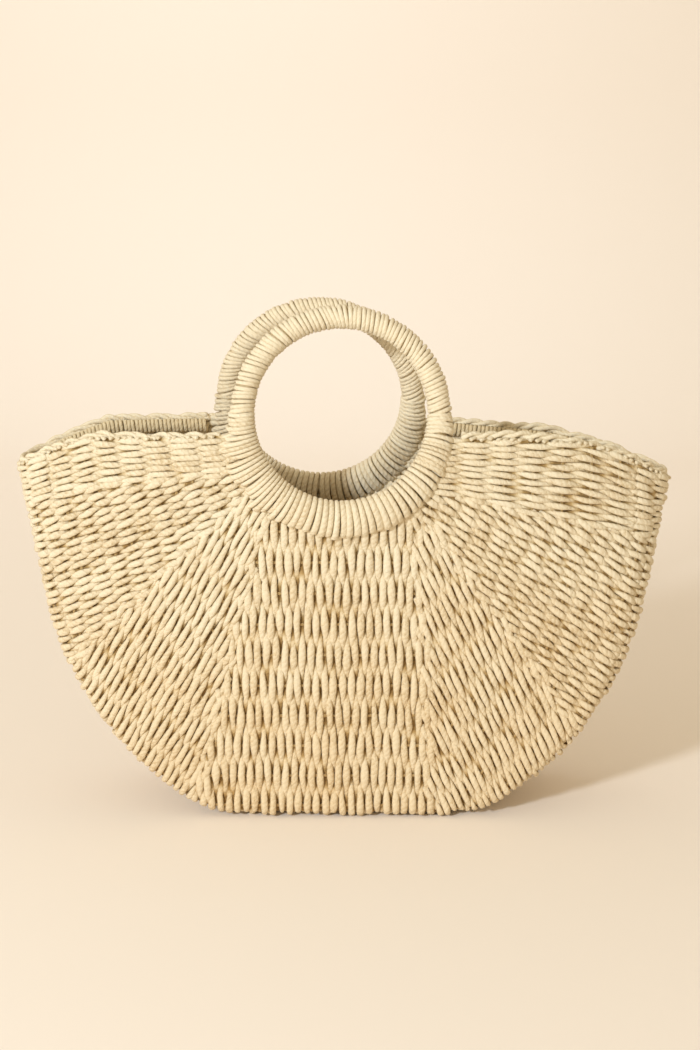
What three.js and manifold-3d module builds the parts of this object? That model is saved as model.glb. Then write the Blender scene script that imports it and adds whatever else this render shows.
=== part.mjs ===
// A half-moon basket bag woven from paper straw: one hollow woven body with a flat base,
// two ring handles that lean towards each other, the turns of straw that tie the lower half
// of each ring to the weave, and a braided border along each end of the open rim.
// Millimetres. +X runs to the bag's right end as its front is seen, -Y is the front and
// +Z is up. The origin is the middle of the base, on the surface that the bag stands on.
import * as THREE from 'three';
import { mergeVertices } from 'three/addons/utils/BufferGeometryUtils.js';
import Module from 'manifold-3d';

const wasm = await Module();
wasm.setup();

// Driving dimensions of the woven body, measured on its outside
const HALF_WIDTH = 211; // from the middle to a pointed end of the rim
const RIM_HEIGHT = 247; // the level stretch of the rim beside the handles
const BASE_DEPTH = 101; // front to back at the base
const RIM_DEPTH = 88; // front to back at the handles
const WALL = 5.5; // two layers of straw and the cord between them
const TIP_PINCH = 28; // how much nearer the middle each face comes at the rim's ends
const BASE_ROUND = 6; // rounding between a face and the base
const TIP_ROUND = { left: 16, right: 32 }; // the same at the rim's ends, as seen from the front
const TIP_DROP = { left: 22, right: 33 }; // how far the rim sinks at its ends
const DROP_START = { left: 154, right: 106 }; // from the middle to where the rim starts to sink
const DROP_BEND = { left: 1.2, right: 2 }; // 1 sinks straight, more sinks late
const BACK_DIP = 6.5; // how much lower the back's rim runs than the front's on the right
const BACK_DIP_START = 45; // from the middle to where that dip starts

// Driving dimensions of the handles and of the straw turns that hold them
const RING_RADIUS = 60.5; // to the middle of the wrapped tube
const RING_TUBE = 7.3; // radius of the wrapped tube, the upper half that the hand holds
const RING_CORE = 5.4; // radius of the bare tube under the turns
const RING_RISE = 10.8; // ring centre above the level rim
const RING_LEAN = 9; // degrees, tops towards each other
const RING_SHIFT = { front: -3, back: -17 }; // ring centre from the middle of the bag
const TURN_THICKNESS = 2.6; // straw wound round a ring
const TURN_SAG = 5; // extra reach of the turns below the ring, down into the weave

// Driving dimensions of the braided border inside the rim
const BRAID_WIDTH = 8;
const BRAID_HEIGHT = 9.5;
const BRAID_SUNK = 1; // how far its top lies below the rim

const CLEARANCE = 0.3; // between pieces that touch on the real bag
const SHARPEST = 2; // least rounding where an inner corner closes up

// The outline of a face from the end of the flat base up to the top of an end:
// rise is a share of RIM_HEIGHT and reach a share of HALF_WIDTH.
const OUTLINE = [
  { rise: 0.0, reach: 0.295 },
  { rise: 0.016, reach: 0.4 },
  { rise: 0.045, reach: 0.475 },
  { rise: 0.09, reach: 0.556 },
  { rise: 0.155, reach: 0.643 },
  { rise: 0.24, reach: 0.728 },
  { rise: 0.35, reach: 0.81 },
  { rise: 0.47, reach: 0.874 },
  { rise: 0.6, reach: 0.917 },
  { rise: 0.75, reach: 0.953 },
  { rise: 0.9, reach: 0.994 },
  { rise: 1.08, reach: 1.012 },
];

// How finely the surfaces are faceted
const SIDE_STEPS = 22; // along the outline, up each side
const BASE_STEPS = 4; // along the flat base
const CORNER_STEPS = 5; // round each corner between face and side
const FACE_ROWS = 4; // from the outline to the rim
const RING_STEPS = 48;
const TUBE_SIDES = 10;
const RIM_STEP = 8; // along the rim

const sideOutline = new THREE.SplineCurve(
  OUTLINE.map((row) => new THREE.Vector2(row.reach * HALF_WIDTH, row.rise * RIM_HEIGHT)),
);
const TOP = OUTLINE.at(-1).rise * RIM_HEIGHT;

// Half the bag's depth at a point of a face, on the outside of the weave
function faceDepth(x, z) {
  const rise = Math.min(Math.max(z / RIM_HEIGHT, 0), 1);
  const flat = THREE.MathUtils.lerp(BASE_DEPTH, RIM_DEPTH, rise) / 2;
  return flat - TIP_PINCH * (Math.abs(x) / HALF_WIDTH) ** 4 * rise ** 1.5;
}

// The rounding from face to side: across is seen from the front, through runs front to back
function rounding(x, z) {
  const rise = Math.min(Math.max(z / RIM_HEIGHT, 0), 1) ** 1.5;
  const tip = x < 0 ? TIP_ROUND.left : TIP_ROUND.right;
  return {
    across: THREE.MathUtils.lerp(BASE_ROUND, tip, rise),
    through: THREE.MathUtils.lerp(BASE_ROUND, faceDepth(x, z), rise),
  };
}

// Height of the rim: level beside the handles, sinking towards both ends, and lower along
// the right of the back than along the front
function rimHeight(x, side) {
  const end = x < 0 ? 'left' : 'right';
  const share = Math.max(Math.abs(x) - DROP_START[end], 0) / (HALF_WIDTH - DROP_START[end]);
  const along = THREE.MathUtils.clamp((x - BACK_DIP_START) / (HALF_WIDTH - BACK_DIP_START), 0, 1);
  const dip = side === 'back' ? BACK_DIP * Math.sin(Math.PI * along) : 0;
  return RIM_HEIGHT - TIP_DROP[end] * Math.min(share, 1.1) ** DROP_BEND[end] - dip;
}

// The outline of a face from the top of the left end, under the base, to the right end,
// as points with the direction that faces into the bag
function outlinePoints() {
  const right = sideOutline.getSpacedPoints(SIDE_STEPS);
  const points = right.map((p) => new THREE.Vector2(-p.x, p.y)).reverse();
  for (let i = 1; i < BASE_STEPS; i++) {
    points.push(new THREE.Vector2(right[0].x * ((2 * i) / BASE_STEPS - 1), 0));
  }
  points.push(...right);
  return points.map((p, i) => {
    const before = points[Math.max(i - 1, 0)];
    const after = points[Math.min(i + 1, points.length - 1)];
    const along = after.clone().sub(before).normalize();
    const level = i === 0 || i === points.length - 1;
    const inward = level ? new THREE.Vector2(-Math.sign(p.x), 0) : new THREE.Vector2(-along.y, along.x);
    return { p, inward };
  });
}

// A closed mesh from rings of points with as many points each, which are capped at both
// ends or, when they come full circle, joined to each other
function loft(rings, fullCircle = false) {
  const size = rings[0].length;
  const positions = rings.flat().flatMap((p) => [p.x, p.y, p.z]);
  const faces = [];
  const steps = fullCircle ? rings.length : rings.length - 1;
  for (let i = 0; i < steps; i++) {
    const here = i * size;
    const next = ((i + 1) % rings.length) * size;
    for (let j = 0; j < size; j++) {
      const k = (j + 1) % size;
      faces.push(here + j, next + j, next + k, here + j, next + k, here + k);
    }
  }
  if (!fullCircle) {
    const last = (rings.length - 1) * size;
    for (let j = 1; j < size - 1; j++) {
      faces.push(0, j, j + 1, last, last + j + 1, last + j);
    }
  }
  const geometry = new THREE.BufferGeometry();
  geometry.setAttribute('position', new THREE.Float32BufferAttribute(positions, 3));
  geometry.setIndex(faces);
  return geometry;
}

// Solids for cutting and joining
function solidOf(geometry) {
  const bare = geometry.clone();
  bare.deleteAttribute('normal');
  bare.deleteAttribute('uv');
  const merged = mergeVertices(bare, 1e-3);
  const index = merged.index.array;
  const kept = [];
  for (let i = 0; i < index.length; i += 3) {
    const [a, b, c] = index.subarray(i, i + 3);
    if (a !== b && b !== c && c !== a) kept.push(a, b, c);
  }
  const vertProperties = new Float32Array(merged.attributes.position.array);
  const mesh = new wasm.Mesh({ numProp: 3, vertProperties, triVerts: new Uint32Array(kept) });
  return new wasm.Manifold(mesh);
}

function geometryOf(solid) {
  const mesh = solid.getMesh();
  const geometry = new THREE.BufferGeometry();
  geometry.setAttribute('position', new THREE.BufferAttribute(new Float32Array(mesh.vertProperties), 3));
  geometry.setIndex(new THREE.BufferAttribute(new Uint32Array(mesh.triVerts), 1));
  return geometry;
}

// The bag's closed outer form, brought in all round by inset and closed above the rim
function bagForm(inset, lift) {
  const outline = outlinePoints();
  const top = TOP + lift;
  const first = outline[0].p.x + rounding(-1, TOP).across;
  const last = outline.at(-1).p.x - rounding(1, TOP).across;
  const rings = outline.map(({ p, inward }, i) => {
    const edge = p.clone().addScaledVector(inward, inset);
    if (i === 0 || i === outline.length - 1) edge.y = top;
    const round = rounding(p.x, p.y);
    const across = Math.max(round.across - inset, SHARPEST);
    const depth = faceDepth(edge.x, edge.y) - inset;
    const bend = Math.min(Math.max(round.through - inset, SHARPEST) / depth, 1);
    const line = []; // half the ring, from the middle of the side to the top of the face
    for (let j = 0; j <= CORNER_STEPS; j++) {
      const turn = (j / CORNER_STEPS) * (Math.PI / 2);
      const q = edge.clone().addScaledVector(inward, across * (1 - Math.cos(turn)));
      const share = 1 - bend * (1 - Math.sin(turn));
      line.push(new THREE.Vector3(q.x, share * (faceDepth(q.x, q.y) - inset), Math.min(q.y, top)));
    }
    const inner = line.at(-1);
    const topX = THREE.MathUtils.lerp(first, last, i / (outline.length - 1));
    for (let k = 1; k <= FACE_ROWS; k++) {
      const x = THREE.MathUtils.lerp(inner.x, topX, k / FACE_ROWS);
      const z = THREE.MathUtils.lerp(inner.z, top, k / FACE_ROWS);
      line.push(new THREE.Vector3(x, faceDepth(x, z) - inset, z));
    }
    const mirrored = line.map((v) => new THREE.Vector3(v.x, -v.y, v.z));
    return [...line.reverse(), ...mirrored];
  });
  return solidOf(loft(rings));
}

// The block above a line that runs along the rim, raised or lowered by shift
function above(shift) {
  const past = HALF_WIDTH + RIM_STEP;
  const high = TOP + BASE_DEPTH;
  const steps = Math.round((2 * past) / RIM_STEP);
  const blocks = ['front', 'back'].map((side) => {
    const shape = new THREE.Shape();
    shape.moveTo(-past, high);
    for (let i = 0; i <= steps; i++) {
      const x = THREE.MathUtils.lerp(-past, past, i / steps);
      shape.lineTo(x, rimHeight(x, side) + shift);
    }
    shape.lineTo(past, high);
    shape.closePath();
    const block = new THREE.ExtrudeGeometry(shape, { depth: BASE_DEPTH, bevelEnabled: false });
    block.rotateX(Math.PI / 2);
    block.translate(0, side === 'front' ? 0 : BASE_DEPTH, 0);
    return solidOf(block);
  });
  return blocks[0].add(blocks[1]);
}

// A ring handle's own frame: its centre at the origin and its axis along Y
function tubeSection(angle, inner, outer, half, sides) {
  const middle = (inner + outer) / 2;
  const section = [];
  for (let j = 0; j < sides; j++) {
    const turn = (j / sides) * 2 * Math.PI;
    const r = middle + ((outer - inner) / 2) * Math.cos(turn);
    section.push(new THREE.Vector3(r * Math.cos(angle), -half * Math.sin(turn), r * Math.sin(angle)));
  }
  return section;
}

// A whole ring, with one tube radius over its upper half and another over its lower
function ringForm(upper, lower) {
  const rings = [];
  for (let i = 0; i < RING_STEPS; i++) {
    const tube = i > 0 && i < RING_STEPS / 2 ? upper : lower;
    const angle = (i / RING_STEPS) * 2 * Math.PI;
    rings.push(tubeSection(angle, RING_RADIUS - tube, RING_RADIUS + tube, tube, TUBE_SIDES));
  }
  return solidOf(loft(rings, true));
}

// How far the turns of straw reach from the middle of a ring's tube
function turnReach(extra) {
  return RING_CORE + CLEARANCE + TURN_THICKNESS + extra;
}

// The turns of straw round the lower half of a ring, which reach further out below it
function turnsForm(extra) {
  const rings = [];
  const reach = turnReach(extra);
  for (let i = RING_STEPS / 2; i <= RING_STEPS; i++) {
    const angle = (i / RING_STEPS) * 2 * Math.PI;
    const outer = RING_RADIUS + reach + TURN_SAG * Math.abs(Math.sin(angle));
    rings.push(tubeSection(angle, RING_RADIUS - reach, outer, reach, TUBE_SIDES));
  }
  return solidOf(loft(rings));
}

// Where a handle sits: it leans to the middle of the bag, and its plane crosses the wall
// half way from the ring's centre to its lowest point
function handlePlace(side) {
  const away = side === 'front' ? -1 : 1;
  const lean = THREE.MathUtils.degToRad(RING_LEAN);
  const centre = RIM_HEIGHT + RING_RISE;
  const crossing = faceDepth(RING_SHIFT[side], centre - RING_RADIUS / 2) - WALL / 2;
  const frame = new THREE.Group();
  frame.position.set(RING_SHIFT[side], away * (crossing - (RING_RADIUS / 2) * Math.sin(lean)), centre);
  frame.rotation.x = away * lean;
  frame.updateMatrix();
  return frame;
}

// A round bar through one face of the bag at a handle
function handleBore(side, radius) {
  const bar = new THREE.CylinderGeometry(radius, radius, RIM_DEPTH / 2, RING_STEPS);
  return solidOf(bar).transform(handlePlace(side).matrix.toArray());
}

function wovenBody() {
  let body = bagForm(0, 0).subtract(bagForm(WALL, WALL)).subtract(above(0));
  for (const side of ['front', 'back']) {
    const turns = turnsForm(CLEARANCE).transform(handlePlace(side).matrix.toArray());
    body = body.subtract(handleBore(side, RING_RADIUS)).subtract(turns);
  }
  return body;
}

// The braided border runs along the inside of the wall from handle to handle
function rimBraid(end) {
  const outside = bagForm(WALL + CLEARANCE, 0);
  const inside = bagForm(WALL + CLEARANCE + BRAID_WIDTH, WALL);
  const band = above(-BRAID_SUNK - BRAID_HEIGHT).subtract(above(-BRAID_SUNK));
  let braid = outside.subtract(inside).intersect(band);
  const clear = RING_RADIUS + turnReach(0) + TURN_SAG + CLEARANCE;
  for (const side of ['front', 'back']) braid = braid.subtract(handleBore(side, clear));
  const half = new THREE.BoxGeometry(2 * HALF_WIDTH, 2 * BASE_DEPTH, 4 * RIM_HEIGHT);
  half.translate(end === 'left' ? -HALF_WIDTH : HALF_WIDTH, 0, 0);
  return braid.intersect(solidOf(half));
}

const straw = {
  body: new THREE.MeshStandardMaterial({ color: 0xe6cf9c, roughness: 0.78, metalness: 0 }),
  handle: new THREE.MeshStandardMaterial({ color: 0xe9d5a6, roughness: 0.72, metalness: 0 }),
  turns: new THREE.MeshStandardMaterial({ color: 0xead7ab, roughness: 0.74, metalness: 0 }),
  braid: new THREE.MeshStandardMaterial({ color: 0xd9c189, roughness: 0.8, metalness: 0 }),
};

function piece(name, solid, material) {
  const mesh = new THREE.Mesh(geometryOf(solid), material);
  mesh.name = name;
  return mesh;
}

const bag = new THREE.Group();
bag.add(piece('woven_body', wovenBody(), straw.body));
for (const side of ['front', 'back']) {
  const handle = handlePlace(side);
  handle.add(piece(`${side}_ring_handle`, ringForm(RING_TUBE, RING_CORE), straw.handle));
  const turns = turnsForm(0).subtract(ringForm(RING_CORE + CLEARANCE, RING_CORE + CLEARANCE));
  handle.add(piece(`${side}_ring_turns`, turns, straw.turns));
  bag.add(handle);
}
for (const end of ['left', 'right']) {
  bag.add(piece(`${end}_rim_braid`, rimBraid(end), straw.braid));
}

export default bag;
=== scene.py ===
"""A half-moon basket bag woven from paper straw, with two wrapped ring handles.

Sizes are in millimetres in the tables and helpers, and in metres on the meshes. The frame is
the part's own: +X to the bag's right end, -Y its front, +Z up, the base standing on z = 0.
"""
import math

import bpy
import numpy as np
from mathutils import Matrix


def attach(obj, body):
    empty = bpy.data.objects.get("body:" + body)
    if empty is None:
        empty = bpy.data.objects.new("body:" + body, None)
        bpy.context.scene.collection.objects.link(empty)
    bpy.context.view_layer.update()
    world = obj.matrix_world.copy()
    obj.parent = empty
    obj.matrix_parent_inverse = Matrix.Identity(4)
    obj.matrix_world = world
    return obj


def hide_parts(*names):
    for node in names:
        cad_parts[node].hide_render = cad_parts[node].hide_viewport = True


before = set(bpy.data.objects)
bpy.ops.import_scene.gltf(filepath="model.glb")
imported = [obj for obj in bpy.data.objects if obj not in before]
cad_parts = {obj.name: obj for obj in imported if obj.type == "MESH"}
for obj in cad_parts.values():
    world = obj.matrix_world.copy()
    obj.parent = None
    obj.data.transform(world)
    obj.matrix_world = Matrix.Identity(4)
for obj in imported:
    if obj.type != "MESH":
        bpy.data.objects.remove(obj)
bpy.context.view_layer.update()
MM = 0.001
UP = np.array([0.0, 0.0, 1.0])

# Camera
PHOTO_HEIGHT_PX = 1050
FOCAL_PX = 1707
DISTANCE = 1100
ELEVATION = 12.5  # degrees
TARGET = (2.6, 0, 181)
SENSOR_HEIGHT = 36
SIGHT_M = 20  # nothing farther away is drawn


def add_camera():
    data = bpy.data.cameras.new("photo_camera")
    data.sensor_fit = "VERTICAL"
    data.sensor_height = SENSOR_HEIGHT
    data.lens = SENSOR_HEIGHT * FOCAL_PX / PHOTO_HEIGHT_PX
    data.clip_end = SIGHT_M
    camera = bpy.data.objects.new("photo_camera", data)
    tilt = math.radians(ELEVATION)
    camera.location = (
        TARGET[0] * MM,
        (TARGET[1] - DISTANCE * math.cos(tilt)) * MM,
        (TARGET[2] + DISTANCE * math.sin(tilt)) * MM,
    )
    camera.rotation_euler = (math.pi / 2 - tilt, 0, 0)
    bpy.context.collection.objects.link(camera)
    bpy.context.scene.camera = camera


add_camera()

# The bag's form
HALF_WIDTH = 211
RIM_HEIGHT = 247
BASE_DEPTH = 101
RIM_DEPTH = 88
TIP_PINCH = 28
BASE_ROUND = 6
TIP_ROUND = (16, 32)  # left, right, as in the three rows below
TIP_DROP = (22, 33)
DROP_START = (154, 106)
DROP_BEND = (1.2, 2)
BACK_DIP = 6.5
BACK_DIP_START = 45
RING_RADIUS = 60.5
RING_RISE = 10.8
RING_LEAN = math.radians(9)
RING_SHIFT = {-1: -3, 1: -17}  # front, back
WALL = 5.5
MIDDLE = 3.0  # the weave's middle surface below its outside

# rise as a share of RIM_HEIGHT, reach as a share of HALF_WIDTH
OUTLINE = [
    (0.0, 0.295), (0.016, 0.4), (0.045, 0.475), (0.09, 0.556), (0.155, 0.643), (0.24, 0.728),
    (0.35, 0.81), (0.47, 0.874), (0.6, 0.917), (0.75, 0.953), (0.9, 0.994), (1.08, 1.012),
]
OUTLINE_SPAN = 60  # points from one row of the table to the next
FINE = 0.5  # step along the outline and along lines that are measured against it
COARSE = 3  # the nearest outline point is looked for among every third
CHUNK = 4000  # points measured at a time, to save memory


def smooth(t):
    t = np.clip(t, 0, 1)
    return t * t * (3 - 2 * t)


def catmull_rom(points, per_span):
    points = np.asarray(points, float)
    out = []
    for i in range(len(points) - 1):
        p1, p2 = points[i], points[i + 1]
        p0 = points[max(i - 1, 0)]
        p3 = points[min(i + 2, len(points) - 1)]
        for t in np.linspace(0, 1, per_span, endpoint=False):
            v0, v1 = (p2 - p0) / 2, (p3 - p1) / 2
            out.append(
                (2 * p1 - 2 * p2 + v0 + v1) * t**3 + (-3 * p1 + 3 * p2 - 2 * v0 - v1) * t**2 + v0 * t + p1
            )
    out.append(points[-1])
    return np.array(out)


def arc_length(points):
    """The length along a line up to each of its points."""
    return np.concatenate([[0], np.cumsum(np.linalg.norm(np.diff(points, axis=0), axis=1))])


def points_at(at, known, points):
    """Points interpolated at some values, where the known values belong to the given points."""
    return np.stack([np.interp(at, known, points[:, k]) for k in range(points.shape[1])], axis=-1)


def resample(points, step):
    length = arc_length(points)
    n = max(int(round(length[-1] / step)), 1)
    return points_at(np.linspace(0, length[-1], n + 1), length, points)


def rise_of(z):
    return np.clip(z / RIM_HEIGHT, 0, 1)


def face_depth(x, z):
    rise = rise_of(z)
    flat = (BASE_DEPTH + (RIM_DEPTH - BASE_DEPTH) * rise) / 2
    return flat - TIP_PINCH * (np.abs(x) / HALF_WIDTH) ** 4 * rise**1.5


def rounding(x, z):
    rise = rise_of(z) ** 1.5
    tip = np.where(np.asarray(x) < 0, TIP_ROUND[0], TIP_ROUND[1])
    return BASE_ROUND + (tip - BASE_ROUND) * rise, BASE_ROUND + (face_depth(x, z) - BASE_ROUND) * rise


def rim_dip(x, away):
    """How much lower the back's rim runs than the front's, on the right."""
    along = np.clip((x - BACK_DIP_START) / (HALF_WIDTH - BACK_DIP_START), 0, 1)
    return BACK_DIP * np.sin(np.pi * along) if away > 0 else 0 * along


def rim_height(x, away):
    x = np.asarray(x, float)
    drop, start, bend = (np.where(x < 0, *pair) for pair in (TIP_DROP, DROP_START, DROP_BEND))
    share = np.clip((np.abs(x) - start) / (HALF_WIDTH - start), 0, 1.1)
    return RIM_HEIGHT - drop * share**bend - rim_dip(x, away)


def trace_outline():
    """The outline from the top left round the base to the top right."""
    corners = [(reach * HALF_WIDTH, rise * RIM_HEIGHT) for rise, reach in OUTLINE]
    right = resample(catmull_rom(corners, OUTLINE_SPAN), FINE)
    left = right[::-1] * [-1, 1]
    base = resample(np.array([left[-1], right[0]]), FINE)
    return np.concatenate([left[:-1], base[:-1], right])


def inward(line):
    """At each point of the outline, the direction into the bag."""
    tangent = np.gradient(line, axis=0)
    tangent /= np.linalg.norm(tangent, axis=1)[:, None]
    return np.stack([-tangent[:, 1], tangent[:, 0]], axis=1)


OUT = trace_outline()
OUT_S = arc_length(OUT)
OUT_IN = inward(OUT)
OUT_MID = OUT + OUT_IN * MIDDLE  # the outline of the weave's middle surface


def nearest_outline(p):
    """(signed distance inside, index) of the nearest outline point to each of the points p."""
    i = np.empty(len(p), int)
    for at in range(0, len(p), CHUNK):
        part = p[at : at + CHUNK]
        d2 = ((part[:, None, :] - OUT_MID[None, ::COARSE, :]) ** 2).sum(axis=2)
        i[at : at + CHUNK] = d2.argmin(axis=1) * COARSE
    return ((p - OUT_MID[i]) * OUT_IN[i]).sum(axis=1), i


def lift(p, away):
    """Face points raised onto the weave's middle surface: (points, outward normals, roundness).

    Roundness is 0 on the flat of a face and 1 at the outline.
    """
    d, i = nearest_outline(p)
    edge = OUT[i]
    across, through = rounding(edge[:, 0], edge[:, 1])
    across = np.maximum(across - MIDDLE, 2)
    edge_depth = face_depth(edge[:, 0], edge[:, 1]) - MIDDLE
    bend = np.clip((through - MIDDLE) / edge_depth, 0, 1)
    c = np.clip(1 - d / across, 0, 1)
    s = np.sqrt(1 - c * c)
    depth = face_depth(p[:, 0], p[:, 1]) - MIDDLE
    y = depth * (1 - bend * (1 - s))
    slope_x = (face_depth(p[:, 0] + 1, p[:, 1]) - face_depth(p[:, 0] - 1, p[:, 1])) / 2
    slope_z = (face_depth(p[:, 0], p[:, 1] + 1) - face_depth(p[:, 0], p[:, 1] - 1)) / 2
    edge_out = np.stack([-OUT_IN[i][:, 0], np.zeros(len(p)), -OUT_IN[i][:, 1]], axis=1)
    face_out = np.stack([-slope_x, np.full(len(p), float(away)), -slope_z], axis=1)
    ratio = depth * bend / across
    normal = edge_out * (c * ratio)[:, None] + face_out * s[:, None]
    normal /= np.linalg.norm(normal, axis=1)[:, None]
    points = np.stack([p[:, 0], away * y, p[:, 1]], axis=1)
    return points, normal, c


# Rings
def ring_place(away):
    """Centre of a ring and its upward direction; away is -1 for the front and 1 for the back."""
    centre = RIM_HEIGHT + RING_RISE
    crossing = face_depth(RING_SHIFT[away], centre - RING_RADIUS / 2) - WALL / 2
    y = away * (crossing - RING_RADIUS / 2 * math.sin(RING_LEAN))
    up = np.array([0, -away * math.sin(RING_LEAN), math.cos(RING_LEAN)])
    return np.array([RING_SHIFT[away], y, centre]), up


def ring_axes(away):
    """A ring's centre, its upward direction and the direction out of the bag."""
    centre, up = ring_place(away)
    return centre, up, np.array([0, away * math.cos(RING_LEAN), math.sin(RING_LEAN)])


def ring_point(away, angle, radius, out):
    """Points at angles round a ring (0 is +X, pi/2 is up), at a radius, and out from its plane."""
    centre, up, normal = ring_axes(away)
    angle, radius, out = np.broadcast_arrays(angle, radius, out)
    return (
        centre
        + (radius * np.cos(angle))[..., None] * np.array([1.0, 0, 0])
        + (radius * np.sin(angle))[..., None] * up
        + out[..., None] * normal
    )


# Tubes
# Painted shade on the tubes: how much darker a tube's skin is painted where less light reaches it, by level
# and by facing
LEVEL_LIGHT = 0.62
FACING_LIGHT = 0.32
FLANK_LIGHT = 0.72
FLANK_LOSS = 0.14  # the flanks of the highest and lowest stretches are darker by this
NO_CORNER = -1  # stands in for a triangle's fourth corner


# painted shade: the straw's colour is darkened where this openness is low
def openness(level, facing):
    """How open the skin of a tube is to light, from 0 to 1.

    Level is 1 where the tube passes out over its neighbours and -1 where it passes in under
    them, and facing is 1 on the tube's outward side and -1 on its inward side.
    """
    high = smooth(0.5 + LEVEL_LIGHT * level + FACING_LIGHT * facing)
    seen = np.where(facing >= 0, high, 1 - high)
    flank = FLANK_LIGHT - FLANK_LOSS * np.abs(level)
    return flank + (seen - flank) * np.abs(facing)


class Tubes:
    """Collects tubes with an oval section into one mesh."""

    def __init__(self):
        self.verts, self.faces, self.uvs, self.tone_and_shade = [], [], [], []
        self.count = 0

    def add(self, path, normal, wide, thick, sides=8, tone=(0.5, 0.5), level=None, closed=False):
        """Path and normal are arrays of points and directions; wide and thick are half sizes."""
        path = np.asarray(path, float)
        n = len(path)
        if closed:
            along = np.roll(path, -1, axis=0) - np.roll(path, 1, axis=0)
        else:
            along = np.gradient(path, axis=0)
        along /= np.maximum(np.linalg.norm(along, axis=1), 1e-9)[:, None]
        normal = normal - (normal * along).sum(axis=1)[:, None] * along
        normal /= np.maximum(np.linalg.norm(normal, axis=1), 1e-9)[:, None]
        aside = np.cross(along, normal)
        wide = np.broadcast_to(wide, (n,))[:, None, None]
        thick = np.broadcast_to(thick, (n,))[:, None, None]
        a = np.arange(sides) / sides * 2 * np.pi + np.pi / 2
        rings = (
            path[:, None, :]
            + aside[:, None, :] * wide * np.cos(a)[None, :, None]
            + normal[:, None, :] * thick * np.sin(a)[None, :, None]
        )
        base = self.count
        self.verts.append(rings.reshape(-1, 3))
        length = arc_length(path)
        total = length[-1] + (np.linalg.norm(path[0] - path[-1]) if closed else 0)
        rows = n if closed else n - 1
        i = np.repeat(np.arange(rows), sides)
        j = np.tile(np.arange(sides), rows)
        k = (j + 1) % sides
        nxt = (i + 1) % n
        corners = [i * sides + j, nxt * sides + j, nxt * sides + k, i * sides + k]
        self.faces.append(base + np.stack(corners, axis=1))
        v0, v1 = length[i], np.where(nxt == 0, total, length[nxt])
        u0, u1 = j / sides, (j + 1) / sides
        quad = [(u0, v0), (u0, v1), (u1, v1), (u1, v0)]
        self.uvs.append(np.stack([np.stack(corner, axis=1) for corner in quad], axis=1))
        facing = np.broadcast_to(np.sin(a), (n, sides))
        # painted shade: without a level the flanks are painted darker, with one the stretches that pass in
        # under others too
        light = 0.6 + 0.4 * np.abs(facing) if level is None else openness(level[:, None], facing)
        own, turn = (np.full(n * sides, value) for value in tone)
        # the third channel is the painted shade
        tone_and_shade = np.stack([own, turn, light.ravel()], axis=1)
        self.tone_and_shade.append(tone_and_shade)
        self.count += n * sides
        if not closed:
            self.cap(path, along, thick, base, sides, tone_and_shade, 0)
            self.cap(path, along, thick, base, sides, tone_and_shade, n - 1)

    def cap(self, path, along, thick, base, sides, tone_and_shade, end):
        """A rounded tip at one end of an open tube."""
        out = 1 if end else -1
        self.verts.append((path[end] + along[end] * thick[end, 0, 0] * 0.5 * out)[None])
        self.tone_and_shade.append(tone_and_shade[end * sides][None])
        j = np.arange(sides)
        k = (j + 1) % sides
        first, second = (k, j) if end else (j, k)
        ring = base + end * sides
        middle = np.full(sides, self.count)
        spare = np.full(sides, NO_CORNER)
        self.faces.append(np.stack([ring + first, ring + second, middle, spare], axis=1))
        flat = np.zeros(sides)
        quad = [(first / sides, flat), (second / sides, flat), (flat + 0.5, flat), (flat, flat)]
        self.uvs.append(np.stack([np.stack(corner, axis=1) for corner in quad], axis=1))
        self.count += 1

    def make(self, name, material, slot, *nodes):
        """The collected tubes as one object, which may replace nodes of the solids."""
        verts = np.concatenate(self.verts) * MM
        faces = np.concatenate(self.faces)
        uvs = np.concatenate(self.uvs)
        tone_and_shade = np.concatenate(self.tone_and_shade)
        quads = faces[:, 3] != NO_CORNER
        loops = np.where(quads, 4, 3)
        keep = np.ones((len(faces), 4), bool)
        keep[~quads, 3] = False
        mesh = bpy.data.meshes.new(name)
        mesh.vertices.add(len(verts))
        mesh.vertices.foreach_set("co", verts.ravel())
        mesh.loops.add(int(loops.sum()))
        mesh.loops.foreach_set("vertex_index", faces[keep].astype(np.int32))
        mesh.polygons.add(len(faces))
        starts = np.concatenate([[0], np.cumsum(loops)[:-1]])
        mesh.polygons.foreach_set("loop_start", starts.astype(np.int32))
        uv = mesh.uv_layers.new(name="straw")
        uv.data.foreach_set("uv", uvs[keep].astype(np.float32).ravel())
        tone = mesh.color_attributes.new("tone", "FLOAT_COLOR", "POINT")
        rgba = np.ones((len(verts), 4), np.float32)
        rgba[:, :3] = tone_and_shade
        tone.data.foreach_set("color", rgba.ravel())
        mesh.update(calc_edges=True)
        mesh.validate()
        mesh.shade_smooth()
        mesh.materials.append(material)
        obj = bpy.data.objects.new(name, mesh)
        bpy.context.collection.objects.link(obj)
        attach(obj, "root")
        if nodes:
            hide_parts(*nodes)
        print(name, "triangles", int((loops - 2).sum()))
        return obj


# Straw material
STRAW_BASE = (0.78, 0.67, 0.475)
STRAW_PALE = (0.835, 0.745, 0.56)
STRAW_DEEP = (0.545, 0.405, 0.215)
SKIN = [(0.0, STRAW_DEEP), (0.5, STRAW_BASE), (1.0, STRAW_PALE)]
# painted shade: the straw's colour is darkened and browned where the skin is less open to light
PAINTED_SHADE = [
    (0.0, (0.30, 0.19, 0.075)),
    (0.3, (0.60, 0.48, 0.29)),
    (0.6, (0.93, 0.89, 0.80)),
    (0.85, (1, 1, 1)),
]
# painted warm floor bounce, strongest at the base
BOUNCE_TINT_LOW = (0.97, 0.89, 0.79)
BOUNCE_TINT = [(0.0, BOUNCE_TINT_LOW), (0.9, (1, 1, 1))]
WOBBLE_SCALE = 420
FIBRE_SCALE = 1600
BROAD_SCALE = 20
TWISTS_PER_MM = 0.28
GROOVES = 2.0


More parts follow.
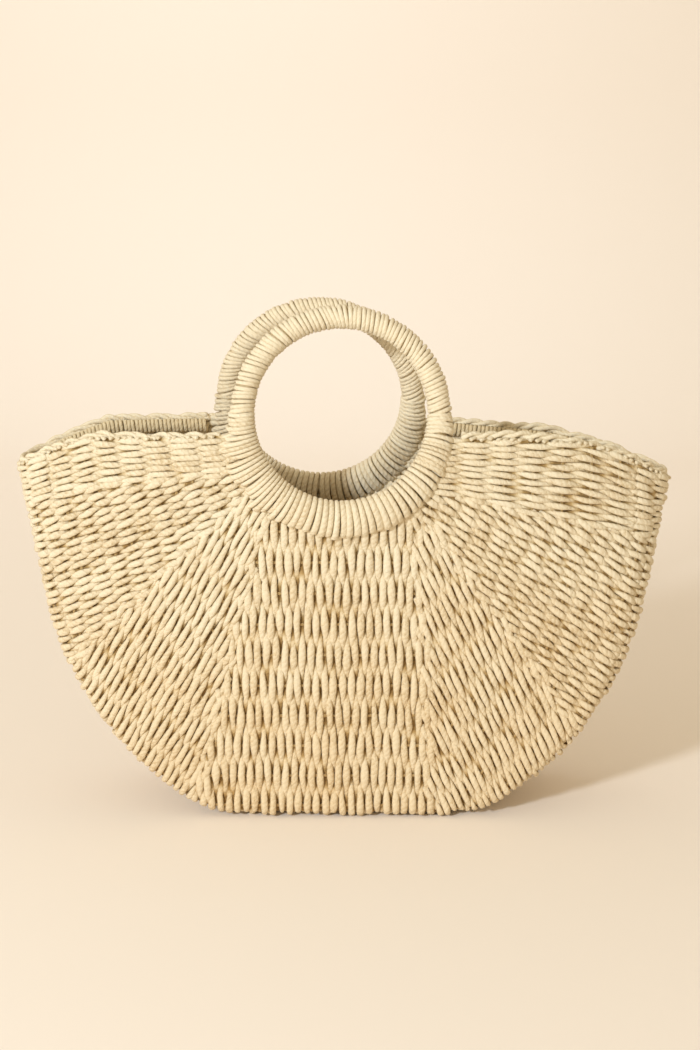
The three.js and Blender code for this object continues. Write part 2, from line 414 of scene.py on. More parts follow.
class Graph:
    """A material's node tree, with short ways to add nodes and sums."""

    def __init__(self, material):
        material.use_nodes = True
        self.nodes, self.links = material.node_tree.nodes, material.node_tree.links
        self.nodes.clear()

    def add(self, kind, **inputs):
        node = self.nodes.new(kind)
        for name, value in inputs.items():
            self.set(node.inputs[name.replace("_", " ")], value)
        return node

    def set(self, socket, value):
        if isinstance(value, bpy.types.NodeSocket):
            self.links.new(value, socket)
        else:
            socket.default_value = value

    def math(self, operation, a, b=0.0, clamp=False):
        node = self.nodes.new("ShaderNodeMath")
        node.operation = operation
        node.use_clamp = clamp
        self.set(node.inputs[0], a)
        self.set(node.inputs[1], b)
        return node.outputs[0]

    def sum(self, *parts):
        """The sum of (value, weight, middle) parts, each as weight * (value - middle)."""
        total = 0.0
        for value, weight, middle in parts:
            part = self.math("MULTIPLY", self.math("SUBTRACT", value, middle), weight)
            total = self.math("ADD", total, part)
        return total

    def noise(self, where, scale, detail, roughness=0.5):
        node = self.add("ShaderNodeTexNoise", Vector=where, Scale=scale, Detail=detail)
        self.set(node.inputs["Roughness"], roughness)
        return node.outputs["Fac"]

    def multiply(self, a, b):
        """One colour times another."""
        node = self.nodes.new("ShaderNodeMix")
        node.data_type = "RGBA"
        node.blend_type = "MULTIPLY"
        node.inputs[0].default_value = 1
        self.set(node.inputs[6], a)
        self.set(node.inputs[7], b)
        return node.outputs[2]

    def ramp(self, value, stops):
        """A colour for each value, from a table of positions and colours."""
        node = self.nodes.new("ShaderNodeValToRGB")
        elements = node.color_ramp.elements
        for element, (position, colour) in zip(elements, (stops[0], stops[-1])):
            element.position = position
            element.color = (*colour, 1)
        for position, colour in stops[1:-1]:
            elements.new(position).color = (*colour, 1)
        self.set(node.inputs[0], value)
        return node.outputs[0]


def straw_material(name, groove):
    """Matt twisted paper straw with painted shade: pale on top, brown where little light reaches it."""
    material = bpy.data.materials.new(name)
    graph = Graph(material)
    tone = graph.nodes.new("ShaderNodeAttribute")
    tone.attribute_name = "tone"
    split = graph.add("ShaderNodeSeparateColor", Color=tone.outputs["Color"])
    own, turn, light = split.outputs
    uv = graph.nodes.new("ShaderNodeUVMap")
    uv.uv_map = "straw"
    xy = graph.add("ShaderNodeSeparateXYZ", Vector=uv.outputs[0])
    where = graph.nodes.new("ShaderNodeTexCoord").outputs["Object"]
    wobble = graph.noise(where, WOBBLE_SCALE, 3, 0.6)
    fibre = graph.noise(where, FIBRE_SCALE, 3, 0.65)
    broad = graph.noise(where, BROAD_SCALE, 2)
    # grooves wind round each straw, from a start of its own
    phase = graph.sum(
        (xy.outputs[1], TWISTS_PER_MM, 0),
        (xy.outputs[0], GROOVES, 0),
        (turn, 7.0, 0),
        (wobble, 1.6, 0),
    )
    twist = graph.math("SINE", graph.math("MULTIPLY", phase, 2 * math.pi))
    mottle = graph.sum(
        (own, 0.7, 0.5),
        (wobble, 1.1, 0.5),
        (broad, 0.45, 0.5),
        (fibre, 0.7, 0.5),
        (twist, 0.12 * groove, 0),
    )
    skin = graph.ramp(graph.math("ADD", mottle, 0.6, clamp=True), SKIN)
    # painted shade: the tubes' light channel darkens the colour
    depth = graph.ramp(light, PAINTED_SHADE)
    # painted warm floor bounce: the straw's colour is warmer towards the base, in patches
    height_up = graph.add("ShaderNodeSeparateXYZ", Vector=where).outputs[2]
    bounce_fade = graph.math("ADD", graph.sum((height_up, 4.0, 0), (broad, 0.9, 0.5)), 0.0, clamp=True)
    bounce_tint = graph.ramp(bounce_fade, BOUNCE_TINT)
    colour = graph.multiply(graph.multiply(skin, depth), bounce_tint)
    height = graph.sum((twist, 0.3 * groove, 0), (fibre, 0.5, 0), (wobble, 0.6, 0))
    bump = graph.add("ShaderNodeBump", Strength=0.6, Distance=0.0008, Height=height)
    shader = graph.add(
        "ShaderNodeBsdfPrincipled",
        Base_Color=colour,
        Roughness=graph.math("ADD", graph.math("MULTIPLY", fibre, 0.2), 0.68),
        IOR=1.4,
        Normal=bump.outputs[0],
    )
    shader.inputs["Specular IOR Level"].default_value = 0.25
    shader.inputs["Sheen Weight"].default_value = 0.08
    out = graph.nodes.new("ShaderNodeOutputMaterial")
    graph.links.new(shader.outputs[0], out.inputs[0])
    return material


STRAW = straw_material("paper_straw", groove=1.0)
WOUND = straw_material("wound_straw", groove=0.6)

# The weave's layout
# Seven sectors fan out from each handle. In each, the straws run side by side in one
# direction and the cords that they cross run another way. Points are on the front face.
RIM_LEFT = [(-66, 248), (-77, 245), (-120, 243.4), (-160, 242.6), (-178, 236), (-199, 226), (-212, 220)]
RIM_RIGHT = [
    (60, 246), (67, 243.4), (107, 242.8), (150, 240), (168, 233), (186, 224), (202, 215), (212, 208),
]
AB = [(-58, 226), (-67.5, 221.5), (-120, 216.5), (-150, 212.5), (-180, 205), (-212, 193)]
BA = [(43, 212), (55, 209.4), (100, 199.9), (150, 189), (192, 179), (205, 176)]
BC = [(-50, 220), (-190, 85)]
CD = [(-44, 219), (-99, 0)]
DC = [(39.5, 224), (57, -10)]
CB = [(30, 221), (170, 28)]

# side: the end of the bag that the straws run to; fall: how far a straw's path falls below level,
# in degrees; pitch: from straw to straw; row: from cord to cord; cords: the cords' direction, in
# degrees from level; top, bottom: the lines between which the sector lies; count: its straws,
# where they share out the room beside the rim
SECTORS = [
    dict(name="A_left", side=-1, pitch=2.35, row=16.0, top=RIM_LEFT, bottom=AB, count=14),
    dict(name="B_left", side=-1, fall=24, pitch=2.5, row=11.7, cords=103.5, top=AB, bottom=BC),
    dict(name="C_left", side=-1, fall=61, pitch=2.45, row=17.0, cords=130, top=BC, bottom=CD),
    dict(name="D", side=0, fall=90, pitch=2.8, row=19.8, cords=180, top=CD, bottom=DC),
    dict(name="C_right", side=1, fall=66, pitch=2.4, row=17.6, cords=229.5, top=DC, bottom=CB),
    dict(name="B_right", side=1, fall=36, pitch=2.5, row=12.2, cords=253, top=CB, bottom=BA),
    dict(name="A_right", side=1, pitch=2.3, row=18.2, top=BA, bottom=RIM_RIGHT, count=20),
]
GUSSET_ROW = 17.0
START_RADIUS = 65.0  # where a straw leaves the turns round the ring
BLEND = (64.0, 84.0)  # over these distances from the ring's centre the weave leaves its plane
TUCK = 3.2  # how far a straw runs on under the next sector
TUCK_STAGGER = (-1.0, 1.2)  # added to it for even and for odd straws
TUCK_SINK = (1.2, 2.6)  # how far a tucked end sinks, for even and for odd straws
SINK_LENGTH = 7.0
LONGEST = 400  # no straw on a face is longer
SHORTEST = 12  # the fewest steps of a straw on a face
FOLLOW_RADIUS = 70  # up to this distance from its handle the fan follows it
FOLLOW_FADE = 110  # over this distance more it comes to keep its place
RIM_LOW = 190  # above this height the back's lines sink with its rim
RNG = np.random.default_rng(11)


def cross2(a, b):
    return a[0] * b[1] - a[1] * b[0]


def outline_at(line):
    """Outline arc position where a polyline from the middle crosses the outline."""
    d, i = nearest_outline(resample(np.array(line, float), FINE))
    return OUT_S[i[np.nonzero(d > 0.3)[0][-1]]]


def bearings(points, hub):
    """Each point's distance from the hub and its direction, 0 straight down and growing to +X."""
    off = points - hub
    return np.linalg.norm(off, axis=1), np.arctan2(off[:, 0], -off[:, 1])


def between(points, hub, first, last, slack):
    """Which points lie between two polylines that run out from the hub."""
    r, turn = bearings(points, hub)
    inside = np.ones(len(points), bool)
    for line, sign in ((first, 1), (last, -1)):
        line_r, line_turn = bearings(line, hub)
        order = np.argsort(line_r)
        limit = np.interp(r, line_r[order], line_turn[order])
        inside &= sign * (turn - limit) > -slack / r
    return inside


def inside_part(path):
    """The part of a path before it leaves the outline."""
    d, _ = nearest_outline(path)
    out = np.nonzero(d < 0.05)[0]
    return path[: out[0]] if len(out) else path


def level_paths(sector, top, bottom):
    """Paths that share out the room between two lines, for the sectors beside the rim."""
    t = np.linspace(0, 1, 150)
    edges = [points_at(t, np.linspace(0, 1, len(edge)), edge) for edge in (top, bottom)]
    shares = (np.arange(sector["count"]) + 0.5) / sector["count"]
    return [(inside_part(edges[0] * (1 - v) + edges[1] * v), 0.0) for v in shares]


def falling_paths(sector, top, bottom, hub):
    """Straight paths from the ring or a neighbouring sector to evenly spaced outline points."""
    paths = []
    s, last = outline_at(top), outline_at(bottom)
    angle = math.radians(sector["fall"])
    way = np.array([sector["side"] * math.cos(angle), -math.sin(angle)])
    while s < last:
        i = int(np.searchsorted(OUT_S, s))
        land = OUT_MID[i]
        back = land - way * np.arange(0, LONGEST, FINE)[:, None]
        extra = TUCK + TUCK_STAGGER[len(paths) % 2]
        keep = between(back, hub, top, bottom, extra)
        keep &= np.linalg.norm(back - hub, axis=1) > START_RADIUS
        stop = int(np.argmin(keep)) if not keep.all() else len(keep)
        start = back[max(stop, SHORTEST) - 1]
        tucked = np.linalg.norm(start - hub) > START_RADIUS + 1.5
        paths.append((np.array([start, land]), 1.0 if tucked else 0.0))
        along = np.array([-OUT_IN[i][1], OUT_IN[i][0]])
        s += sector["pitch"] / max(abs(cross2(way, along)), 0.5)
    return paths


def raised(path, away, tucked, index):
    """A straw's 3-D path on one face and on to the gusset's middle, with its normals."""
    centre, up, _ = ring_axes(away)
    hub = np.array([centre[0], centre[2]])
    path = resample(path, 1.0)
    # finer towards the outline, where the surface turns away
    t = np.linspace(0, 1, len(path) + 24)
    t = 1 - (1 - t) ** 1.6
    path = points_at(t, np.linspace(0, 1, len(path)), path)
    points, normal, turn = lift(path, away)
    r = np.linalg.norm(path - hub, axis=1)
    plane_y = centre[1] + (path[:, 1] - centre[2]) * up[1] / up[2]
    own = smooth((r - BLEND[0]) / (BLEND[1] - BLEND[0]))
    points[:, 1] = plane_y * (1 - own) + points[:, 1] * own
    # an end at a neighbouring sector sinks under that sector's straws
    gone = np.linalg.norm(path - path[0], axis=1)
    sink = TUCK_SINK[index % 2] * tucked * (1 - smooth(gone / SINK_LENGTH))
    points -= normal * sink[:, None]
    # straight across the gusset to its middle line
    steps = max(int(abs(points[-1, 1]) / 2), 1)
    y = points[-1, 1] * (1 - np.arange(1, steps + 1) / steps)
    rest = np.stack([np.full(steps, points[-1, 0]), y, np.full(steps, points[-1, 2])], axis=1)
    full = np.concatenate([points, rest])
    normal = np.concatenate([normal, np.repeat(normal[-1:], steps, axis=0)])
    length = arc_length(full)
    flat_end = int(np.nonzero(turn < 0.02)[0][-1]) if (turn < 0.02).any() else 0
    return dict(flat=path, path=full, normal=normal, length=length, flat_end=flat_end)


def across_cords(sector):
    """A function that gives how far each point of a straw is across the cords."""
    if "cords" in sector:
        a = math.radians(sector["cords"])
        across = np.array([-math.sin(a), math.cos(a)])
        if across @ np.array([sector["side"], -1.0]) < 0:
            across = -across
        return lambda straw: straw["flat"] @ across
    if sector["side"] < 0:
        return lambda straw: straw["length"][: len(straw["flat"])] - straw["length"][straw["flat_end"]]
    return lambda straw: straw["flat"][:, 0]


def count_rows(straws, sector):
    """Gives each straw its row count: even rows on the face, and 0 at the gusset's middle."""
    measure = across_cords(sector)
    ref = straws[len(straws) // 2]
    left_over = ref["length"][-1] - ref["length"][ref["flat_end"]]
    zero = measure(ref)[ref["flat_end"]] + sector["row"] * left_over / GUSSET_ROW
    for straw in straws:
        face = (measure(straw) - zero) / sector["row"]
        end = straw["flat_end"]
        edge = min(face[end], -1.0)
        rows = np.empty(len(straw["path"]))
        rows[: end + 1] = face[: end + 1] - max(face[end] - edge, 0)
        length = straw["length"]
        rows[end:] = edge * (1 - (length[end:] - length[end]) / (length[-1] - length[end]))
        straw["rows"] = rows


def half_straws(away):
    """The straws of one face, by sector and number."""
    centre, _, _ = ring_axes(away)
    hub = np.array([centre[0], centre[2]])
    shift = np.array([RING_SHIFT[away] - RING_SHIFT[-1], 0.0])

    def moved(line):
        # the fan follows its own handle near the ring and keeps its place at the outline
        line = resample(np.array(line, float), 3.0)
        near = smooth(1 - (np.linalg.norm(line - hub, axis=1) - FOLLOW_RADIUS) / FOLLOW_FADE)
        line = line + shift * near[:, None]
        rim = smooth((line[:, 1] - RIM_LOW) / (RIM_HEIGHT - RIM_LOW))
        line[:, 1] -= rim_dip(line[:, 0], away) * rim
        return line

    straws = {}
    for sector in SECTORS:
        top, bottom = moved(sector["top"]), moved(sector["bottom"])
        if "count" in sector:
            paths = level_paths(sector, top, bottom)
        else:
            paths = falling_paths(sector, top, bottom, hub)
        mine = [raised(path, away, tucked, k) for k, (path, tucked) in enumerate(paths)]
        count_rows(mine, sector)
        straws.update({(sector["name"], k): straw for k, straw in enumerate(mine)})
    return straws


PITCH = {sector["name"]: sector["pitch"] for sector in SECTORS}
SIDE = {sector["name"]: sector["side"] for sector in SECTORS}
HALVES = {away: half_straws(away) for away in (-1, 1)}
KEYS = [key for key in HALVES[-1] if key in HALVES[1]]

# Straws, cords and loops of the weave
SAMPLES = 8  # sections of a straw from cord to cord
OVER = 1.8  # how far a straw passes out over a cord, and in under the next
CREST = 0.85  # below 1, a straw stays out for longer
STRAW_SHARE = (0.54, 0.32)  # half width as a share of the pitch, and what it gains at a cord
STRAW_THICK = (1.12, 0.3)  # half thickness, the same way
SLIP = 0.07  # how far a whole straw is out of step, in rows
# how unevenly a straw lies: the size of each wander, and the sections from knot to knot
WANDER = dict(slip=(0.11, 7), swell=(0.085, 3), height=(0.15, 5), aside=(0.11, 4), thick=(0.06, 3))
GUSSET_ROWS = 2.5  # rows from the gusset's middle to where a face's piece starts
FACE_PARTS = {-1: "left", 0: "middle", 1: "right"}
CORD_HALF = (1.1, 1.0)  # half width and half thickness
# the cords are painted darker, as shade where they lie under the straws
CORD_LEVEL = -0.75
CORD_MARGIN = 0.05  # a straw that ends this near a cord, in rows, isn't crossed
RIM_LOOP_SHARE = 0.27  # from loop to loop along the rim, as a share of a row
RIM_LOOP_CLEAR = 0.3  # rows left free at both ends and at the gusset's middle
RIM_LOOP_TURN = (0.6, math.pi + 0.75)  # from outside over the rim to inside
RIM_LOOP_OUT = 2.1
RIM_LOOP_HIGH = (1.3, 0.5)  # least height over the straw, and how unevenly more
RIM_LOOP_LEAN = (6.0, 1.4)  # how far it runs on along the rim, and how unevenly
RIM_LOOP_RAISED = 0.3
RIM_LOOP_HALF = (1.4, 1.0)


def wander(n, size, every):
    """Smooth noise of n values."""
    knots = RNG.normal(0, size, n // every + 3)
    return np.interp(np.arange(n) / every, np.arange(len(knots)), knots)


def joined(key):
    """A whole straw from the front's ring to the back's: rows, points and normals."""
    f, b = HALVES[-1][key], HALVES[1][key]
    path = np.concatenate([f["path"], b["path"][::-1][1:]])
    normal = np.concatenate([f["normal"], b["normal"][::-1][1:]])
    rows = np.concatenate([f["rows"], -b["rows"][::-1][1:]])
    rows = np.maximum.accumulate(rows + np.arange(len(rows)) * 1e-6)
    n = max(int((rows[-1] - rows[0]) * SAMPLES), 4)
    at = np.linspace(rows[0], rows[-1], n + 1)
    out = points_at(at, rows, normal)
    return at, points_at(at, rows, path), out / np.linalg.norm(out, axis=1)[:, None]


def add_straw(pieces, key, index, at, mid, out):
    """One straw, passing over and under the cords in turn, shared out between the pieces."""
    n = len(at)
    slip = RNG.normal(0, SLIP) + wander(n, *WANDER["slip"])
    wave = np.cos(np.pi * (at + slip + index))
    over = np.abs(wave) ** CREST
    along = np.gradient(mid, axis=0)
    along /= np.linalg.norm(along, axis=1)[:, None]
    aside = np.cross(along, out)
    pitch = PITCH[key[0]]
    swell = 1 + wander(n, *WANDER["swell"])
    height = np.sign(wave) * over * OVER * (1 + wander(n, *WANDER["height"]))
    path = mid + out * height[:, None] + aside * (pitch * wander(n, *WANDER["aside"]))[:, None]
    wide = pitch * (STRAW_SHARE[0] + STRAW_SHARE[1] * over) * swell
    thick = (STRAW_THICK[0] + STRAW_THICK[1] * over) * (1 + wander(n, *WANDER["thick"]))
    tone = (RNG.uniform(0.25, 0.75), RNG.uniform(0, 1))
    zero = int(np.searchsorted(at, 0))
    first, last = (int(np.searchsorted(at, row)) for row in (-GUSSET_ROWS, GUSSET_ROWS))
    part = FACE_PARTS[SIDE[key[0]]]
    gusset = "gusset_left" if mid[zero, 0] < 0 else "gusset_right"
    spans = {"front_" + part: (0, first + 1), gusset: (first, last + 1), "back_" + part: (last, n)}
    for name, (i, j) in spans.items():
        if j - i >= 3:
            # the level gives the painted shade: the straw is painted darker where it passes in under a cord
            pieces[name].add(path[i:j], out[i:j], wide[i:j], thick[i:j], tone=tone, level=wave[i:j])


def add_cords(cords, sector, middles):
    """The cords that a sector's straws cross, one through each row."""
    low = int(math.ceil(min(at[0] for at, _, _ in middles)))
    for row in range(low, -low + 1):
        runs = [[]]
        for at, mid, out in middles:
            if at[0] + CORD_MARGIN < row < at[-1] - CORD_MARGIN:
                runs[-1].append((points_at(row, at, mid), points_at(row, at, out)))
            elif runs[-1]:
                runs.append([])
        for run in runs:
            if len(run) < 3:
                continue
            path, normal = (np.array(values) for values in zip(*run))
            tone = (0.4, RNG.uniform(0, 1))
            level = np.full(len(run), CORD_LEVEL)
            cords.add(path, normal, *CORD_HALF, sides=6, tone=tone, level=level)


def add_rim_loops(loops, sector, middles):
    """The cords' ends, which turn over the topmost straw beside the rim and run back along it."""
    at, mid, out = middles[0 if sector["side"] < 0 else -1]
    first, last = math.ceil(at[0] + RIM_LOOP_CLEAR), at[-1] - RIM_LOOP_CLEAR
    for row in np.arange(first, last, RIM_LOOP_SHARE):
        if abs(row) < RIM_LOOP_CLEAR:
            continue
        here = row + RNG.normal(0, 0.05)
        point = points_at(here, at, mid)
        ahead = points_at(here + 0.3, at, mid) - point
        away = points_at(here, at, out)
        ahead /= np.linalg.norm(ahead)
        away -= (away @ ahead) * ahead
        away /= np.linalg.norm(away)
        above = np.cross(ahead, away)
        above *= np.sign(above[2])
        t = np.linspace(*RIM_LOOP_TURN, 11)
        high = RIM_LOOP_HIGH[0] + abs(RNG.normal(0, RIM_LOOP_HIGH[1]))
        lean = RIM_LOOP_LEAN[0] + RNG.normal(0, RIM_LOOP_LEAN[1])
        path = (
            point
            + away * (RIM_LOOP_OUT * np.cos(t))[:, None]
            + above * (high * np.sin(t) + RIM_LOOP_RAISED)[:, None]
            + ahead * (lean * (t / math.pi - 0.5))[:, None]
        )
        facing = away * np.cos(t)[:, None] + above * np.sin(t)[:, None]
        tone = (RNG.uniform(0.3, 0.8), RNG.uniform(0, 1))
        loops.add(path, facing, *RIM_LOOP_HALF, sides=7, tone=tone)


def make_weave():
    """All straws, cords and rim loops, as pieces of the faces and the gusset."""
    names = ["front_left", "front_middle", "front_right", "back_left", "back_middle", "back_right"]
    pieces = {name: Tubes() for name in names + ["gusset_left", "gusset_right"]}
    middles = {sector["name"]: [] for sector in SECTORS}
    for index, key in enumerate(KEYS):
        at, mid, out = joined(key)
        middles[key[0]].append((at, mid, out))
        add_straw(pieces, key, index, at, mid, out)
    cords, loops = Tubes(), Tubes()
    for sector in SECTORS:
        add_cords(cords, sector, middles[sector["name"]])
        if "count" in sector:
            add_rim_loops(loops, sector, middles[sector["name"]])
    for name, tubes in pieces.items():
        tubes.make("weave_" + name, STRAW, "woven_straw", "woven_body")
    cords.make("weave_cords", STRAW, "woven_straw", "woven_body")
    loops.make("weave_rim_loops", STRAW, "woven_straw", "woven_body")


make_weave()

# Wrapped rings
WRAP_PITCH = 2.7
WRAP_OUT = 6.35  # middle of a wrap's straw from the middle of the tube
WRAP_ENDS = (-9, 189)  # degrees round the ring
WRAP_POINTS = 18  # a turn
WRAP_SLANT = (0.036, 0.016)  # radians, and how unevenly
WRAP_HALF = (1.42, 1.15)
# how unevenly the wraps lie: with one knot a turn, and with three
WRAP_STEP = (0.06, 0.09)
WRAP_REACH = (0.15, 0.14)
WRAP_WIDTH = (0.05, 0.06)
CORE_RADIUS = 5.7
# the ring's core is painted darker, as shade between the wraps
CORE_LEVEL = -0.45


def make_wrapping(away, name):
    """The straw wound round the part of a ring that the hand holds."""
    _, _, out = ring_axes(away)
    ring = Tubes()
    a = np.linspace(0, 2 * np.pi, 72, endpoint=False)
    level = np.full(len(a), CORE_LEVEL)
    core = ring_point(away, a, RING_RADIUS, 0.0)
    facing = np.repeat(out[None], len(a), axis=0)
    ring.add(core, facing, CORE_RADIUS, CORE_RADIUS, sides=10, tone=(0.2, 0.1), level=level, closed=True)
    start, end = (math.radians(angle) for angle in WRAP_ENDS)
    turns = int(RING_RADIUS * (end - start) / WRAP_PITCH)
    t = np.arange(turns * WRAP_POINTS + 1) / WRAP_POINTS
    knots = np.arange(turns + 2)

    def uneven(size, each=1):
        # each is the number of knots in a turn
        at = np.arange(turns * each + 2) / each
        return np.interp(t, at, RNG.normal(0, size, len(at)))

    phi = 2 * np.pi * t
    slant = WRAP_SLANT[0] + np.interp(t, knots[::5], RNG.normal(0, WRAP_SLANT[1], len(knots[::5])))
    step = t + uneven(WRAP_STEP[0]) + uneven(WRAP_STEP[1], 3)
    angle = start + step / turns * (end - start) + slant * np.cos(phi)
    r = WRAP_OUT + uneven(WRAP_REACH[0]) + uneven(WRAP_REACH[1], 3)
    path = ring_point(away, angle, RING_RADIUS + r * np.cos(phi), r * np.sin(phi))
    middle = ring_point(away, angle, RING_RADIUS, 0.0)
    wide = WRAP_HALF[0] * (1 + uneven(WRAP_WIDTH[0]) + uneven(WRAP_WIDTH[1], 3))
    ring.add(path, path - middle, wide, WRAP_HALF[1], sides=7, tone=(0.55, 0.4))
    ring.make(name + "_ring_wrapping", WOUND, "wrapped_straw", name + "_ring_handle")


LOOP_MARGIN = 0.02  # radians past the ring's half
LOOP_LEFT = (252, 34)  # degrees: the left loops end at the first and fade out over the second
LOOP_SPACING = (2.7, 1.2)  # at the ring's sides, and what its bottom adds
LOOP_GRIP = (WRAP_OUT + 0.1, 0.9)  # round the tube, and what the bottom adds
LOOP_REACH = (0.4, 5.8)  # past the grip towards the weave, and what the bottom adds
LOOP_STRAGGLE = (-1.0, 6.5)  # how much farther the left loops reach, at least and at most
LOOP_THICK = 1.45  # half thickness


def make_loops(away, name):
    """The straws that turn over the lower half of a ring and run on into the weave."""
    loops = Tubes()
    angle = math.pi - LOOP_MARGIN
    while angle < 2 * math.pi + LOOP_MARGIN:
        low = abs(math.sin(angle))  # 0 at the ring's sides, 1 at its bottom
        left = smooth((math.radians(LOOP_LEFT[0]) - angle) / math.radians(LOOP_LEFT[1])) * min(low * 4, 1)
        spacing = LOOP_SPACING[0] + LOOP_SPACING[1] * smooth((low - 0.35) / 0.5) * (1 - left)
        grip = LOOP_GRIP[0] + LOOP_GRIP[1] * low
        reach = grip + LOOP_REACH[0] + LOOP_REACH[1] * min(low * 1.4, 1)
        reach += left * RNG.uniform(*LOOP_STRAGGLE)
        reach += RNG.normal(0, 0.4)
        phi = np.linspace(0, 2 * np.pi, 26, endpoint=False)
        outer = 0.5 - 0.5 * np.cos(phi)  # 0 on the ring's inner side, 1 towards the weave
        radial = RING_RADIUS - grip + (grip + reach) * outer
        blunt = np.sign(np.sin(phi)) * np.abs(np.sin(phi)) ** (0.8 + 0.3 * left)
        depth = (grip + RNG.normal(0, 0.2)) * blunt * (1 - 0.12 * outer**2)
        lean = angle + 0.02 * np.sin(phi) + RNG.normal(0, 0.007) * outer
        path = ring_point(away, lean, radial, depth)
        middle = ring_point(away, angle, RING_RADIUS + (reach - grip) / 2, 0.0)
        wide = spacing * (0.5 - 0.02 * outer) * radial / RING_RADIUS * (1 + RNG.normal(0, 0.06))
        tone = (RNG.uniform(0.35, 0.85), RNG.uniform(0, 1))
        loops.add(path, path - middle, wide, LOOP_THICK, tone=tone, closed=True)
        angle += spacing * (1 + RNG.normal(0, 0.05)) / RING_RADIUS
    loops.make(name + "_ring_loops", STRAW, "wrapped_straw", name + "_ring_turns")


for away, name in ((-1, "front"), (1, "back")):
    make_wrapping(away, name)
    make_loops(away, name)

# Border inside the rim
BORDER_START = 74.5  # from a ring's middle to where the border beside it starts
BORDER_END = 214  # past the bag's end, where the line is cut off at the outline
BAND_PLACE = dict(drop=6.2, inset=5.2)  # below the rim, and in from the weave's middle surface
BAND_HALF = (3.6, 2.3)  # half its height and half its depth
BAND_PITCH = 2.6
BAND_POINTS = 14  # a turn
BAND_STRAW = (1.35, 1.0)
BAND_LEVEL = 0.45  # it lies in the bag's own shade
ROPE_PLACE = dict(drop=1.2, inset=1.8)
ROPE_HALF = (1.4, 1.3)
ROPE_TURN = 22.0  # along the rim, one turn of the rope
ROPE_STRAW = (1.55, 1.2)


def border_line(end, drop, inset):
    """A line along the inside of the rim from ring to ring round one end, with its normals."""
    sign = -1 if end == "left" else 1
    sides = []
    for away in (-1, 1):
        x = np.linspace(RING_SHIFT[away] + sign * BORDER_START, sign * BORDER_END, 400)
        flat = inside_part(np.stack([x, rim_height(x, away) - drop], axis=1))
        points, normal, _ = lift(flat, away)
        sides.append(np.concatenate([points - normal * inset, normal], axis=1))
    both = resample(np.concatenate([sides[0], sides[1][::-1]]), 1.6)
    line, out = both[:, :3], both[:, 3:]
    return line, out / np.linalg.norm(out, axis=1)[:, None], arc_length(line)


def make_border(end):
    """A band bound with straw inside the rim, and a loose two-strand rope along the top."""
    border = Tubes()
    line, out, length = border_line(end, **BAND_PLACE)
    turns = int(length[-1] / BAND_PITCH)
    t = np.linspace(0, turns, turns * BAND_POINTS + 1)
    at = (t + np.interp(t, np.arange(turns + 1), RNG.normal(0, 0.1, turns + 1))) / turns * length[-1]
    middle = points_at(at, length, line)
    away = points_at(at, length, out)
    phi = 2 * np.pi * t
    around = UP * (BAND_HALF[0] * np.sin(phi))[:, None] + away * (BAND_HALF[1] * np.cos(phi))[:, None]
    level = np.full(len(t), BAND_LEVEL)
    border.add(middle + around, away, *BAND_STRAW, sides=6, tone=(0.75, 0.3), level=level)
    line, out, length = border_line(end, **ROPE_PLACE)
    loose = wander(len(line), 0.6, 9)
    for k in range(2):
        w = 2 * np.pi * length / ROPE_TURN + k * np.pi + wander(len(line), 0.7, 12)
        path = line + UP * (ROPE_HALF[0] * np.sin(w) + loose)[:, None]
        path += out * (ROPE_HALF[1] * np.cos(w))[:, None]
        border.add(path, out, *ROPE_STRAW, tone=(RNG.uniform(0.6, 1.0), RNG.uniform(0, 1)))
    border.make(end + "_border", STRAW, "woven_straw", end + "_rim_braid")


make_border("left")
make_border("right")

# Floor and light, in metres
FLOOR_COLOUR = (0.92, 0.845, 0.765)
FLOOR_NEAR = -4.0
FLOOR_BEND = 1.2  # behind the bag, where the paper starts to curve up
FLOOR_RADIUS = 0.5
FLOOR_HIGH = 3.0
FLOOR_HALF = 8.0
KEY = dict(place=(-1.23, -1.824, 1.02), aim=(0, 0, 0.15), size=0.28, power=40, colour=(0.86, 0.93, 1.0))
WALL_LIGHT = dict(
    place=(-0.3, 0.9, 1.6), aim=(0, 1.5, 0.1), size=0.8, power=2.2, colour=(0.80, 0.88, 1.0), spread=106
)
SKY_COLOUR = (1.0, 0.86, 0.63, 1)
SKY_STRENGTH = 0.675


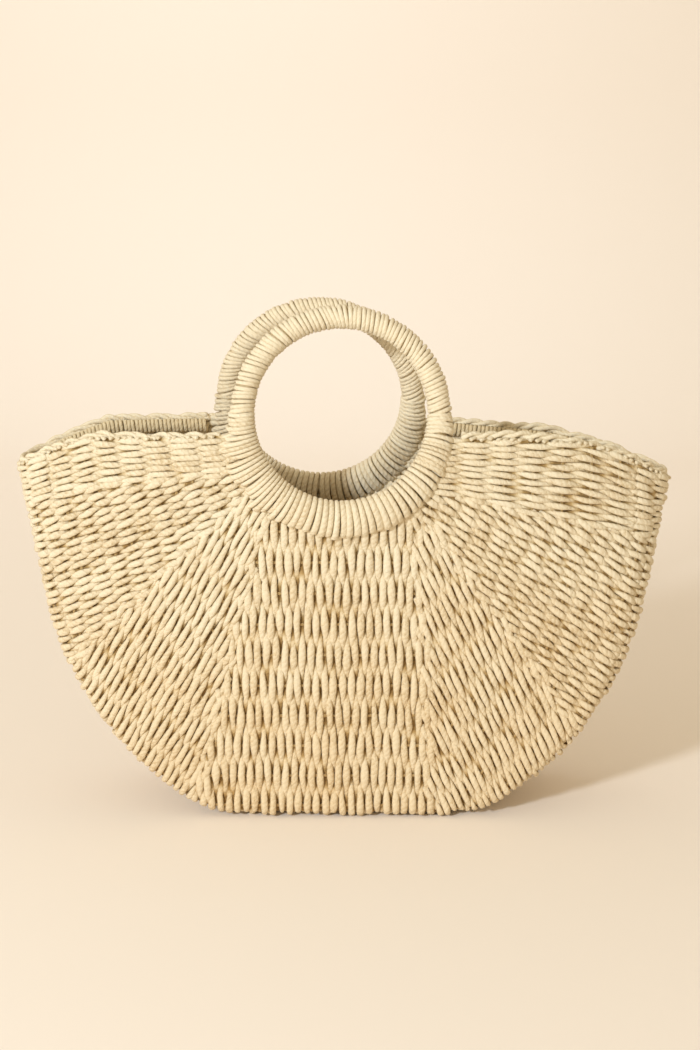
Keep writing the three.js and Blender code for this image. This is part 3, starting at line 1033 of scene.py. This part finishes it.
def make_backdrop():
    """A sheet of pale paper: level under the bag, then curving up behind it."""
    profile = [(FLOOR_NEAR, 0.0)]
    for a in np.radians(np.linspace(0, 90, 19)):
        profile.append((FLOOR_BEND + FLOOR_RADIUS * math.sin(a), FLOOR_RADIUS - FLOOR_RADIUS * math.cos(a)))
    profile.append((FLOOR_BEND + FLOOR_RADIUS, FLOOR_HIGH))
    verts = [(x, y, z) for y, z in profile for x in (-FLOOR_HALF, FLOOR_HALF)]
    faces = [(2 * i, 2 * i + 1, 2 * i + 3, 2 * i + 2) for i in range(len(profile) - 1)]
    mesh = bpy.data.meshes.new("backdrop")
    mesh.from_pydata(verts, [], faces)
    mesh.shade_smooth()
    paper = bpy.data.materials.new("pale_paper")
    paper.use_nodes = True
    shader = paper.node_tree.nodes["Principled BSDF"]
    shader.inputs["Base Color"].default_value = (*FLOOR_COLOUR, 1)
    shader.inputs["Roughness"].default_value = 0.9
    shader.inputs["Specular IOR Level"].default_value = 0.1
    mesh.materials.append(paper)
    backdrop = bpy.data.objects.new("backdrop", mesh)
    bpy.context.collection.objects.link(backdrop)


def area_light(name, place, aim, size, power, colour, spread=180):
    """A round lamp that looks at a point; spread is the angle of its beam, in degrees."""
    data = bpy.data.lights.new(name, "AREA")
    data.shape = "DISK"
    data.size = size
    data.energy = power
    data.color = colour
    data.spread = math.radians(spread)
    light = bpy.data.objects.new(name, data)
    light.location = place
    way = np.array(aim) - np.array(place)
    yaw = math.atan2(way[1], way[0])
    pitch = math.atan2(way[2], math.hypot(way[0], way[1]))
    light.rotation_euler = (pitch + math.pi / 2, 0, yaw - math.pi / 2)
    bpy.context.collection.objects.link(light)


def make_sky():
    world = bpy.data.worlds.new("studio")
    world.use_nodes = True
    background = world.node_tree.nodes["Background"]
    background.inputs["Color"].default_value = SKY_COLOUR
    background.inputs["Strength"].default_value = SKY_STRENGTH
    bpy.context.scene.world = world


make_backdrop()
area_light("key", **KEY)
area_light("wall", **WALL_LIGHT)
make_sky()
bpy.context.scene.view_settings.view_transform = "Standard"

bpy.context.view_layer.update()
